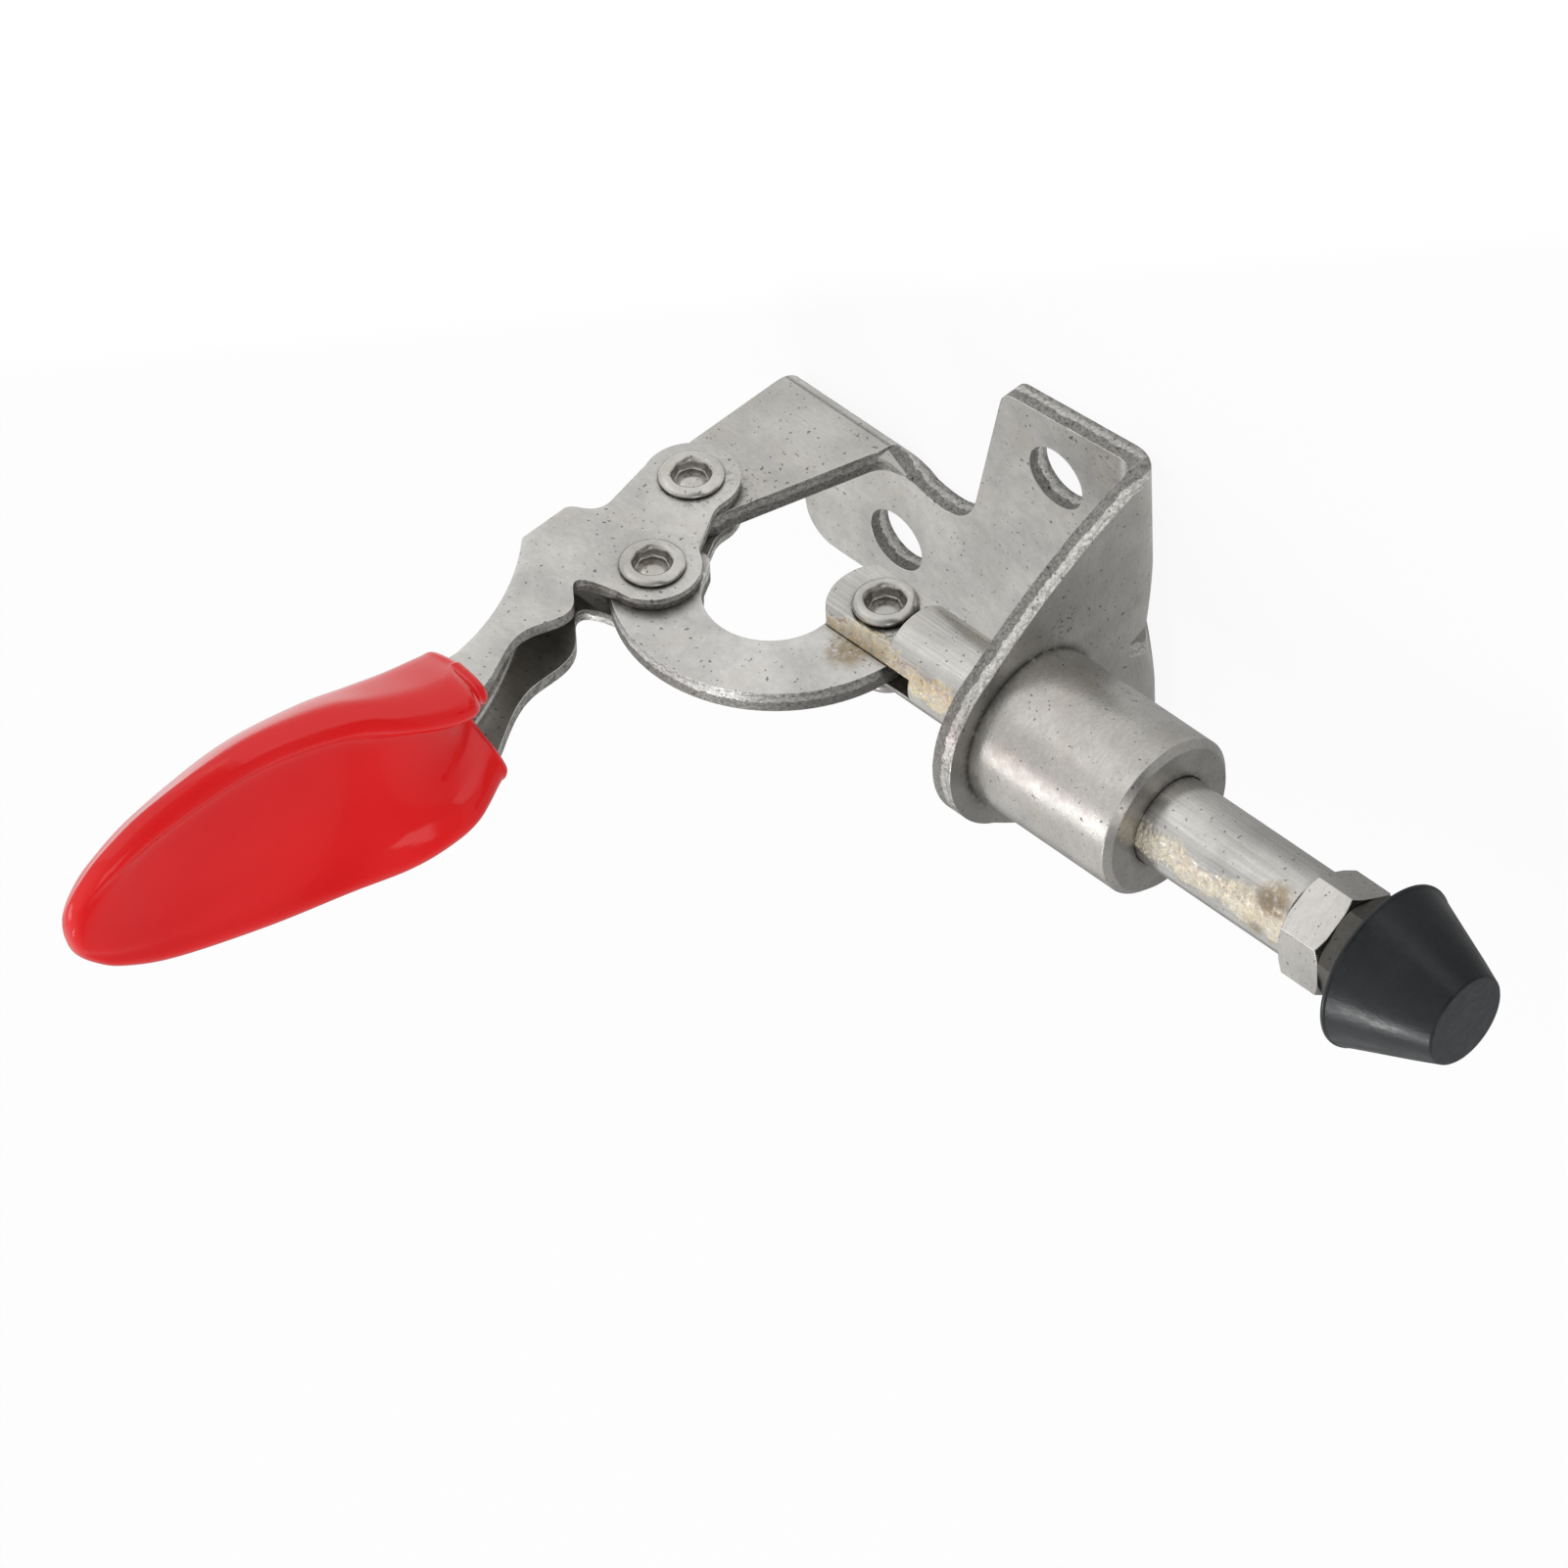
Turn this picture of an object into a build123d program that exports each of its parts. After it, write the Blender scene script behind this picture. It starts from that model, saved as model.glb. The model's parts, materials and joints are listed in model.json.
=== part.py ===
from build123d import *
from math import acos, asin, cos, degrees, radians, sin, sqrt
import os

# Straight-line toggle clamp, push-pull type, in millimetres.
# Frame: the origin is on the mounting face, midway between the two front bolt holes.
# +X is the way the plunger pushes, +Z points away from the mounting face and the pivots lie along Y.

# ---- linkage ----
crank = 8.1             # handle pivot to link pivot: half of the plunger's stroke
link_length = 15.0      # link pivot to plunger pivot
rest_angle = 61.8       # the crank's angle above the plunger axis at rest
axis_height = 12.7      # plunger axis above the mounting face
pivot_setback = 20.8    # handle pivot behind the front bolts

# ---- sheet metal ----
bracket_t = 1.5
link_t = 1.5
lever_t = 0.85
side_gap = 0.05         # between the lever's cheeks and what they straddle, each side
arm_bend_r = 0.8        # inside radius of the arm's bend
plate_bend_r = 1.5      # inside radius of the end plate's bend
lever_bend_r = 0.4      # lever bends, inside

# ---- bracket ----
plate_front = 8.5       # front face of the end plate
plate_half = 12.9       # half width at the end plate's foot
plate_nose_r = 6.9      # round top of the end plate, about the plunger axis
plate_side_bulge = 0.6  # the end plate's slanting sides bow outwards by this much
gusset_rise = 3.9       # the pressed gusset's groove runs from here on the plate to here on the floor
gusset_half = 0.55      # half width of the groove's bottom
gusset_flare = 1.15     # half width at its lips
gusset_lip = 1.75       # lips, below the sharp corner of the bend, square to the groove
shoulder_half = 7.5     # the bend is drawn in towards the groove over this half width
shoulder_skin = 0.9     # where this starts, as a share of the bend's own depth below its sharp corner
rib_depth = 2.2         # the rib inside the bend, from crest to foot
rib_bevel = 0.5
floor_half = 11.8       # half width of the floor behind the tab
floor_rear = -23.0
floor_corner_r = 2.4
floor_rear_lean = 0.9   # the rear edge runs in by this much from the arm to the corner
bolt_pitch = 14.8       # between the two front bolts
rear_bolt_setback = 14.3
bolt_hole_r = 2.25
tab_rear = -4.45        # rear edge of the tab at its outer corner
tab_slant = 2.6         # how much further back the tab's root lies
tab_root_y = 0.9
hollow_ahead = 12.7     # the floor's hollow edge passes here, ahead of the handle pivot
hollow_side = 1.15      # and this far from the mid-plane
tab_corner_r = 1.3
arm_boss_r = 3.1
arm_rear_slack = 0.1    # the arm's rear edge stands this far inside its boss
arm_foot_front = 6.2    # the arm's front edge at its bend, ahead of the handle pivot
arm_root_front = 8.9    # the same where the bend meets the floor
arm_flare_r = 1.6

# ---- guide barrel and plunger ----
barrel_r = 5.4
barrel_length = 11.8    # ahead of the end plate
barrel_chamfer = 0.45
spigot_r = 4.2
stake_lip = 0.4
plunger_r = 3.0
bore_gap = 0.05
plunger_front = 32.5
tail_r = 3.7            # the plunger's rear end is rounded about its pivot
plunger_chamfer = 0.25
slot_gap = 0.08         # each side of the link
slot_reach = 4.8        # slot's end ahead of the plunger pivot
flat_half = 1.95        # milled flat under the rivet's set head, from the mid-plane
flat_reach = 2.6        # the flat's end ahead of the plunger pivot

# ---- rivets ----
shank_r = 1.5
pin_gap = 0.05          # running clearance, on the radius
head_r = 2.1
head_h = 0.5
plunger_head_h = 0.65
upset_half = 4.05       # outer end of the plunger rivet's upset head, on the round side
upset_sink = 0.4        # this head reaches down the round side by so much
crown_r = 1.6           # crest of a head's rolled rim
crown_half = 0.15       # half width of that crest
flank_share = 0.6       # the rim's flanks take this much of a head's height, from its crest
dish_r = 1.1
dish_depth = 0.75

# ---- drive link ----
arch_outer_r = 10.65
arch_outer_drop = 2.3   # outer arc's centre under the line of pivots
arch_inner_r = 4.4
arch_inner_drop = 0.6
mouth_corner_r = 1.1
floor_gap = 0.3         # kept between the link's tail and the floor

# ---- lever, side view, measured from the handle pivot: x forward, z up ----
boss_r = 3.08
waist_half = 2.25
waist_r = 2.0
shoulder_ahead = 0.75   # front edge leaves the link pivot's boss here, from that pivot
shoulder_drop = 0.15    # and this far under the boss's top
split_z = 10.5          # the cheeks are parallel up to here
# height, web face x, half width at the web, front edge x, half width at the front edge
neck_stations = [
    (13.0, -2.40, 2.12, 2.95, 2.12),
    (17.0, -0.05, 2.92, 3.30, 2.95),
    (21.8, 1.60, 3.80, 5.10, 3.80),
]
# the same inside the grip, with the grip's dip between its rims
spoon_stations = [
    (25.3, 1.60, 3.90, 6.20, 4.45, 2.3),
    (29.0, 0.95, 4.20, 5.55, 5.60, 1.6),
    (33.5, -0.10, 4.70, 3.30, 6.75, 1.1),
    (39.0, -0.90, 4.90, 1.70, 6.75, 0.8),
    (45.5, -1.10, 3.90, 0.60, 5.50, 0.6),
    (49.2, -0.90, 2.50, 0.25, 3.90, 0.4),
]
web_low_x = -4.40       # web face at and under the split
front_low_x = 3.60      # the cheeks' front edge there
nose_z = 50.6           # top of the lever, under the vinyl
# the cheek's rear edge: it leaves the boss at the first point and meets the web at the last
notch = [(-2.12, 4.9), (-2.42, 6.15), (-3.5, 6.85), (-5.2, 7.1)]
nose_setback = 0.5      # the nose's flat end starts this far behind the last station's front edge

# ---- vinyl grip ----
vinyl = 1.0             # over the lever's outside
rim_r = 1.1             # vinyl rounded over the lever's front edges
rim_width = 2.1         # of each rim, in rim radii
grip_back_r = 1.5
mouth_dip = 2.4         # how far the vinyl between the rims lies behind them at the mouth
tip_taper = [(51.4, 0.62), (52.5, 0.22)]    # height and width, as a share of the last station

# ---- spindle ----
spindle_r = 2.0
thread_gap = 0.02
spindle_depth = 9.0     # inside the plunger
nut_flats = 6.6
nut_h = 3.2
bolt_flats = 6.4
bolt_head_h = 2.7
plug_r = 1.9            # stub moulded into the rubber
plug_length = 4.0
rubber_back_r = 5.6
rubber_face_r = 3.05
rubber_length = 6.8
rubber_lip = 0.35
rubber_seat = 0.4       # the bolt head sits this deep in the rubber

# ---- worked out from the above ----
pivot_x = -pivot_setback
crank_x = pivot_x + crank * cos(radians(rest_angle))
crank_z = axis_height + crank * sin(radians(rest_angle))
link_tilt = degrees(asin(crank * sin(radians(rest_angle)) / link_length))
rod_x = crank_x + link_length * cos(radians(link_tilt))
cheek_in = link_t / 2 + side_gap
cheek_out = cheek_in + lever_t
slot_half = link_t / 2 + slot_gap
eye_r = arch_outer_r - sqrt((link_length / 2) ** 2 + arch_outer_drop ** 2)
plate_back = plate_front - bracket_t
arm_bend_outer = arm_bend_r + bracket_t
plate_bend_outer = plate_bend_r + bracket_t
arm_half = bracket_t / 2
pull_turn = 180 - rest_angle        # handle's travel to the pull lock
push_turn = rest_angle              # handle's travel to the push lock
link_lag = link_tilt / pull_turn    # the link's own turn for each degree of the handle
push_tilt = link_tilt + link_lag * push_turn

handle_pivot = Vector(pivot_x, 0, axis_height)
link_pivot = Vector(crank_x, 0, crank_z)
rod_pivot = Vector(rod_x, 0, axis_height)

side_plane = Plane.XZ               # sketch x is X, sketch y is Z


def across(sketch, half):
    """A side-view sketch, extruded the same distance to both sides of the mid-plane."""
    return extrude(sketch, amount=half, both=True)


def pin(centre, radius, half):
    """A cylinder along Y through a pivot."""
    return Pos(centre) * Rot(X=90) * Cylinder(radius, 2 * half)


def rod(radius, x_from, x_to):
    """A cylinder along the plunger axis."""
    middle = Pos((x_from + x_to) / 2, 0, axis_height)
    return middle * Rot(Y=90) * Cylinder(radius, x_to - x_from)


def hex_prism(flats, x_from, x_to, turn=0.0):
    """A hexagon along the plunger axis, its corners bevelled at both ends."""
    corner_r = flats / sqrt(3)
    bevel = corner_r - flats / 2
    start = Plane(origin=(x_from, 0, axis_height), x_dir=(0, 1, 0), z_dir=(1, 0, 0))
    prism = extrude(start * Rot(Z=turn) * RegularPolygon(corner_r, 6), amount=x_to - x_from)
    turned = chamfer(rod(corner_r, x_from, x_to).edges(), bevel * 0.45, bevel * 0.8)
    return prism & turned


def floor_outline():
    """Plan of the floor plate: tab in front, a hollow curve back to the arm's bend."""
    front = plate_front + 1
    rear_corner = (floor_rear + floor_rear_lean, -floor_half)
    rear_root = (floor_rear - floor_rear_lean, arm_half)
    tab_root = (tab_rear - tab_slant, tab_root_y)
    arm_root = (pivot_x + arm_root_front, -arm_half - arm_bend_r)
    rear = Line(rear_root, rear_corner)
    side = Line(rear_corner, (tab_rear, -floor_half))
    flare = Line((tab_rear, -floor_half), (plate_back, -plate_half))
    foot = Polyline((plate_back, -plate_half), (front, -plate_half), (front, plate_half),
                    (plate_back, plate_half))
    tab_side = Line((plate_back, plate_half), (tab_rear, floor_half))
    tab_edge = Line((tab_rear, floor_half), tab_root)
    hollow = Spline(tab_root, (pivot_x + hollow_ahead, -hollow_side), arm_root,
                    tangents=[(-tab_slant, -floor_half), (-1, 0.25)])
    arm_line = Polyline(arm_root, (pivot_x + arm_root_front, arm_half), rear_root)
    edges = [rear, side, flare, foot, tab_side, tab_edge, hollow, arm_line]
    plan = make_face(Wire([edge for part in edges for edge in part.edges()]))
    rear_left = plan.vertices().sort_by_distance(Vector(*rear_corner, 0))[0]
    plan = fillet(rear_left, floor_corner_r)
    tab_corner = plan.vertices().sort_by_distance(Vector(tab_rear, floor_half, 0))[0]
    return fillet(tab_corner, tab_corner_r)


def plate_outline():
    """Front view of the end plate: a round nose with two bowed sides running out to its foot."""
    foot_z = plate_bend_outer + 0.3
    dy, dz = plate_half, axis_height - foot_z
    reach = sqrt(dy ** 2 + dz ** 2)
    lean = degrees(acos(plate_nose_r / reach)) - degrees(asin(dz / reach))
    touch = (plate_nose_r * cos(radians(lean)), axis_height + plate_nose_r * sin(radians(lean)))
    bow = ((dy + touch[0]) / 2 + plate_side_bulge * cos(radians(lean)),
           (foot_z + touch[1]) / 2 + plate_side_bulge * sin(radians(lean)))
    right = ThreePointArc((dy, foot_z), bow, touch)
    left = ThreePointArc((-touch[0], touch[1]), (-bow[0], bow[1]), (-dy, foot_z))
    bridge = Line(touch, (-touch[0], touch[1]))
    foot = Polyline((-dy, foot_z), (-dy, 0), (dy, 0), (dy, foot_z))
    edges = [right, bridge, left, foot]
    sides = make_face(Wire([edge for part in edges for edge in part.edges()]))
    nose = Pos(0, axis_height) * Circle(plate_nose_r)
    return Plane.YZ * (sides + nose)


def arm_outline():
    """Side view of the arm: a boss round the handle pivot, flaring into the bend."""
    rear = -arm_boss_r + arm_rear_slack
    body = Polygon((rear, -axis_height), (arm_root_front, -axis_height),
                   (arm_root_front, bracket_t - axis_height),
                   (arm_foot_front, arm_bend_outer - axis_height),
                   (arm_boss_r, 0), (rear, 0), align=None)
    flare = body.vertices().sort_by_distance(Vector(arm_foot_front, arm_bend_outer - axis_height, 0))[0]
    body = fillet(flare, arm_flare_r)
    return Pos(pivot_x, 0, axis_height) * (side_plane * (body + Circle(arm_boss_r)))


def bend_plan():
    """Plan of the arm and its bend: the front end runs slantwise from the arm to the floor."""
    fold_line = arm_half + arm_bend_r
    return Polygon((floor_rear - 5, -fold_line), (pivot_x + arm_root_front, -fold_line),
                   (pivot_x + arm_foot_front, arm_half * 0.4), (pivot_x + arm_foot_front, arm_half + 1),
                   (floor_rear - 5, arm_half + 1), align=None)


def folded_corner(face_x, back_x, reach, inner_r, outer_r):
    """An L-shaped section of sheet: floor along sketch x, wall up from face_x, both bends rounded."""
    rear = face_x - reach
    section = Polygon((rear, 0), (face_x, 0), (face_x, 30), (back_x, 30), (back_x, bracket_t),
                      (rear, bracket_t), align=None)
    outer = section.vertices().sort_by_distance(Vector(face_x, 0, 0))[0]
    section = fillet(outer, outer_r)
    inner = section.vertices().sort_by_distance(Vector(back_x, bracket_t, 0))[0]
    return fillet(inner, inner_r)


def across_bend(face):
    """Extrudes a section along the end plate's bend line at 45 degrees, both ways from its sharp corner.
    Sketch x is Y and sketch y points into the bend."""
    corner = Plane(origin=(plate_front, 0, 0), x_dir=(0, 1, 0), z_dir=(1, 0, 1))
    return extrude(corner * face, amount=20, both=True)


def gusset_groove():
    """What the pressed gusset takes off the bend's outside: a narrow groove between soft shoulders."""
    depth = gusset_rise / sqrt(2)
    skin = plate_bend_outer * (sqrt(2) - 1) * shoulder_skin
    middle = (0.45 * shoulder_half, (gusset_lip + skin) / 2)
    right = Spline((gusset_flare, gusset_lip), middle, (shoulder_half, skin))
    left = Spline((-shoulder_half, skin), (-middle[0], middle[1]), (-gusset_flare, gusset_lip))
    groove = Polyline((-gusset_flare, gusset_lip), (-gusset_half, depth), (gusset_half, depth),
                      (gusset_flare, gusset_lip))
    outside = Polyline((shoulder_half, skin), (shoulder_half, -5), (-shoulder_half, -5),
                       (-shoulder_half, skin))
    edges = [right, outside, left, groove]
    face = make_face(Wire([edge for part in edges for edge in part.edges()]))
    return across_bend(face)


def gusset_rib():
    """The same gusset as a rib inside the bend, one sheet thickness behind the groove."""
    crest = gusset_rise / sqrt(2) + bracket_t
    top = gusset_half + 0.6 * bracket_t - rib_bevel
    wide = top + rib_bevel
    half = [(top, crest), (wide, crest - rib_bevel), (wide + rib_bevel, crest - rib_depth)]
    mirrored = [(-y, depth) for y, depth in reversed(half)]
    rib = across_bend(Polygon(*mirrored, *half, align=None))
    room = Pos(plate_front - 10, 0, 10) * Box(20, 20, 20)
    return rib & room


def base_bracket():
    length = plate_front - floor_rear + 2
    section = folded_corner(plate_front, plate_back, length, plate_bend_r, plate_bend_outer)
    folded = across(side_plane * section, plate_half + 1)
    folded &= extrude(floor_outline(), amount=40)
    folded &= extrude(plate_outline(), amount=60, both=True)
    folded += gusset_rib()
    folded -= gusset_groove()

    bend = folded_corner(arm_half, -arm_half, 2 * arm_half + 4, arm_bend_r, arm_bend_outer)
    bend = Pos(pivot_x, 0, 0) * (Plane.YZ * bend)
    arm = extrude(bend, amount=20, both=True) & across(arm_outline(), 20)
    arm &= extrude(bend_plan(), amount=40)
    fold_line = arm_half + arm_bend_r
    arm -= Pos(pivot_x, -fold_line - 10, 0) * Box(80, 20, 80)
    folded -= Pos(pivot_x, 10 - fold_line, 0) * Box(2 * arm_root_front, 20, 80)
    bracket = folded + arm

    half_pitch = bolt_pitch / 2
    for x, y in [(0, half_pitch), (0, -half_pitch), (-rear_bolt_setback, -half_pitch)]:
        bracket -= Pos(x, y, 0) * Cylinder(bolt_hole_r, 6 * bracket_t)
    bracket -= rod(spigot_r, plate_back - 2, plate_front + 2)
    bracket -= pin(handle_pivot, shank_r + pin_gap, bracket_t)
    return bracket


def guide_barrel():
    body = rod(barrel_r, plate_front, plate_front + barrel_length)
    rim = body.edges().sort_by(Axis.X)[-1]
    body = chamfer(rim, barrel_chamfer)
    body += rod(spigot_r, plate_back, plate_front)
    body += rod(spigot_r + stake_lip, plate_back - stake_lip, plate_back)
    return body - rod(plunger_r + bore_gap, plate_back - 5, plate_front + barrel_length + 5)


def plunger():
    tail = rod_x - tail_r
    body = rod(plunger_r, tail, plunger_front)
    body = chamfer(body.edges().sort_by(Axis.X)[-1], plunger_chamfer)
    body &= pin(rod_pivot, tail_r, plunger_r) + rod(plunger_r, rod_x, plunger_front)
    slot_length = slot_reach + tail_r + 1
    slot_middle = rod_x + slot_reach - slot_length / 2
    body -= Pos(slot_middle, 0, axis_height) * Box(slot_length, 2 * slot_half, 4 * plunger_r)
    body -= pin(rod_pivot, shank_r, plunger_r + 1)
    flat_length = flat_reach + tail_r + 1
    flat_depth = 2 * plunger_r
    flat = Box(flat_length, flat_depth, 4 * plunger_r)
    body -= Pos(rod_x + flat_reach - flat_length / 2, flat_half + flat_depth / 2, axis_height) * flat
    body -= rod(spindle_r + thread_gap, plunger_front - spindle_depth, plunger_front + 1)
    return body


def drive_link():
    """C-shaped stamping. In its own plane u runs from the link pivot to the plunger pivot."""
    middle = link_length / 2
    disc = Pos(middle, -arch_outer_drop) * Circle(arch_outer_r)
    below = Pos(middle, -eye_r - 20) * Rectangle(80, 40)
    shape = disc - below
    lows = shape.vertices().sort_by(Axis.Y)[:2]
    shape = fillet(lows, eye_r)
    mouth = Pos(middle, -arch_inner_drop) * Circle(arch_inner_r)
    mouth += Pos(middle, -arch_inner_drop - 10) * Rectangle(2 * arch_inner_r, 20)
    shape -= mouth
    corners = [v for v in shape.vertices()
               if abs(abs(v.X - middle) - arch_inner_r) < 0.05 and v.Y < -eye_r + 0.05]
    shape = fillet(corners, mouth_corner_r)
    shape -= Circle(shank_r + pin_gap)
    shape -= Pos(link_length, 0) * Circle(shank_r + pin_gap)
    # The tail is relieved along the floor's line in the push lock.
    drop = crank_free_drop()
    relief = Pos(link_length, 0) * Rot(Z=push_tilt) * Pos(0, -drop - 10) * Rectangle(40, 20)
    shape -= relief
    placed = Pos(link_pivot) * Rot(Y=link_tilt) * (side_plane * shape)
    return across(placed, link_t / 2)


def crank_free_drop():
    """Room under the link's front eye when the handle lies at the push lock."""
    sunk = link_length * sin(radians(push_tilt))
    return axis_height - bracket_t - sunk - floor_gap


def lever_outline():
    """Side view of the lever, measured from the handle pivot."""
    bx = crank * cos(radians(rest_angle))
    bz = crank * sin(radians(rest_angle))
    nx, nz = sin(radians(rest_angle)), -cos(radians(rest_angle))
    shoulder = (bx + shoulder_ahead, bz + boss_r - shoulder_drop)
    top = spoon_stations[-1][3] - nose_setback
    rear_edge = Line((-boss_r, 0), notch[0])
    step = Spline(*notch, tangents=[(0.19, 0.98), (-1, 0.05)])
    back = Polyline(notch[-1], (notch[-1][0], nose_z), (top, nose_z))
    front_points = [(station[3], station[0]) for station in neck_stations + spoon_stations]
    front = Spline((top, nose_z), *reversed(front_points), shoulder, tangents=[(0, -1), (1, -0.2)])
    inner = Polyline(shoulder, (bx, bz), (bx + waist_half * nx, bz + waist_half * nz),
                     (waist_half * nx, waist_half * nz), (0, 0), (-boss_r, 0))
    edges = [rear_edge, step, back, front, inner]
    body = make_face(Wire([edge for part in edges for edge in part.edges()]))
    shape = body + Circle(boss_r) + Pos(bx, bz) * Circle(boss_r)
    waist_middle = Vector(bx / 2 + waist_half * nx, bz / 2 + waist_half * nz, 0)
    corners = shape.vertices().sort_by_distance(waist_middle)[:2]
    return fillet(corners, waist_r)


def channel_section(z, web_x, web_half, front_x, front_half, inset, corner_r):
    """One cross-section of the channel's outside, or of its inside when inset."""
    slope = (front_half - web_half) / (front_x - web_x)
    reach = front_x + 4
    rear_x = web_x + inset
    shift = inset * sqrt(1 + slope ** 2)
    rear_half = web_half + slope * inset - shift
    front = web_half + slope * (reach - web_x) - shift
    face = Polygon((rear_x, -rear_half), (reach, -front), (reach, front), (rear_x, rear_half), align=None)
    rears = face.vertices().sort_by(Axis.X)[:2]
    return Pos(0, 0, z) * fillet(rears, corner_r)


def handle_lever():
    """A channel under and round the pivots that opens into a spoon inside the grip."""
    low = -boss_r - 1
    straight = (web_low_x, cheek_out, front_low_x, cheek_out)
    neck = [(split_z, *straight)] + neck_stations
    spoon = [neck_stations[-1]] + [station[:5] for station in spoon_stations]
    spoon.append((nose_z + 1, *spoon_stations[-1][1:5]))

    def solid(inset, corner_r):
        foot = extrude(channel_section(low, *straight, inset, corner_r), amount=split_z - low)
        middle = loft([channel_section(*station, inset, corner_r) for station in neck])
        end = loft([channel_section(*station, inset, corner_r) for station in spoon], ruled=True)
        return foot + middle + end

    channel = solid(0, lever_bend_r + lever_t) - solid(lever_t, lever_bend_r)
    lever = channel & across(side_plane * lever_outline(), 20)
    lever = Pos(handle_pivot) * lever
    lever -= pin(handle_pivot, shank_r, 5)
    return lever - pin(link_pivot, shank_r, 5)


def grip_section(z, web_x, web_half, front_x, front_half, dip, share=1.0):
    """The vinyl's outside round one station: flat back, two round rims and a dip between them."""
    rear = web_x - vinyl
    rear_half = (web_half + vinyl / 2) * share
    front = front_x + vinyl
    rim_half = (front_half + vinyl) * share
    rounding = min(1.0, 1.4 * share)
    dip_half = rim_half - rim_width * rim_r * rounding
    half = [(rear, rear_half), (front, rim_half), (front, dip_half), (front - dip, 0.6 * dip_half)]
    outline = half + [(x, -y) for x, y in reversed(half)]
    face = Polygon(*outline, align=None)
    corners = face.vertices()
    backs = corners.sort_by(Axis.X)[:2]
    face = fillet(backs, grip_back_r * rounding)
    rims = face.vertices().group_by(Axis.X)[-1]
    face = fillet(rims, rim_r * rounding)
    return Pos(0, 0, z) * face


def grip_sleeve():
    last = spoon_stations[-1]
    stations = [(*neck_stations[-1], mouth_dip)] + spoon_stations
    sections = [grip_section(*station) for station in stations]
    sections += [grip_section(z, *last[1:], share) for z, share in tip_taper]
    body = Pos(handle_pivot) * loft(sections, ruled=True)
    return body - handle_lever()


def rivet_head(centre, seat, top):
    """Rolled tubular head between two distances from the mid-plane, dished in its middle."""
    side = 1 if top > 0 else -1
    height = abs(top) - abs(seat)
    shoulder = height - flank_share * min(height, head_h)
    half = [(0, -shank_r), (shank_r, -shank_r), (shank_r, 0), (head_r, 0), (head_r, shoulder),
            (crown_r + crown_half, height), (crown_r - crown_half, height), (dish_r, shoulder),
            (dish_r, height - dish_depth), (0, height - dish_depth)]
    head = revolve(Plane.XZ * Polygon(*half, align=None), Axis.Z)
    return Pos(centre) * Pos(0, seat, 0) * Rot(X=-90 * side) * head


def tubular_rivet(centre, half_grip, height):
    """Shank with a rolled head at each end."""
    body = pin(centre, shank_r, half_grip - shank_r)
    for side in (1, -1):
        body += rivet_head(centre, side * half_grip, side * (half_grip + height))
    return body


def plunger_pivot_rivet():
    """Set head on the milled flat, upset head that follows the round side, slot left clear."""
    upset = rivet_head(rod_pivot, -plunger_r + upset_sink, -upset_half)
    round_side = rod(plunger_r, rod_x - plunger_r, rod_x + plunger_r)
    upset -= round_side - pin(rod_pivot, shank_r, plunger_r + 1)
    body = upset + rivet_head(rod_pivot, flat_half, flat_half + plunger_head_h)
    return body - Pos(rod_pivot) * Box(10, 2 * slot_half, 10)


def lock_nut():
    nut = hex_prism(nut_flats, plunger_front, plunger_front + nut_h)
    return nut - rod(spindle_r + thread_gap, plunger_front - 1, plunger_front + nut_h + 1)


def spindle_bolt():
    seat = plunger_front + nut_h
    bolt = hex_prism(bolt_flats, seat, seat + bolt_head_h, turn=11)
    bolt += rod(spindle_r, plunger_front - spindle_depth + 0.5, seat)
    return bolt + rod(plug_r, seat + bolt_head_h, seat + bolt_head_h + plug_length)


def rubber_tip():
    back = plunger_front + nut_h + bolt_head_h - rubber_seat
    face = back + rubber_length
    profile = Polygon((back, 0), (back, rubber_back_r), (back + rubber_lip, rubber_back_r),
                      (face, rubber_face_r), (face, 0), align=None)
    cone = revolve(side_plane * profile, Axis.X)
    cone = Pos(0, 0, axis_height) * cone
    return cone - spindle_bolt()


nodes = {
    "base_bracket": base_bracket(),
    "guide_barrel": guide_barrel(),
    "plunger": plunger(),
    "drive_link": drive_link(),
    "handle_lever": handle_lever(),
    "grip_sleeve": grip_sleeve(),
    "handle_pivot_rivet": tubular_rivet(handle_pivot, cheek_out, head_h),
    "link_pivot_rivet": tubular_rivet(link_pivot, cheek_out, head_h),
    "plunger_pivot_rivet": plunger_pivot_rivet(),
    "lock_nut": lock_nut(),
    "spindle_bolt": spindle_bolt(),
    "rubber_tip": rubber_tip(),
}

os.makedirs("parts", exist_ok=True)
for name, shape in nodes.items():
    shape.label = name
    export_step(shape, f"parts/{name}.step")
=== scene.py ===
"""Looks of a small straight-line toggle clamp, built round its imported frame.

Shapes are written in millimetres, and each mesh is scaled to metres once, when it is made.
+X is the way the plunger pushes, +Z leads away from the mounting face, and +Y is the side that
the camera sees, which the comments call the near side.
"""
import json
import math

import bpy
import numpy as np
from mathutils import Matrix, Vector

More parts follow.
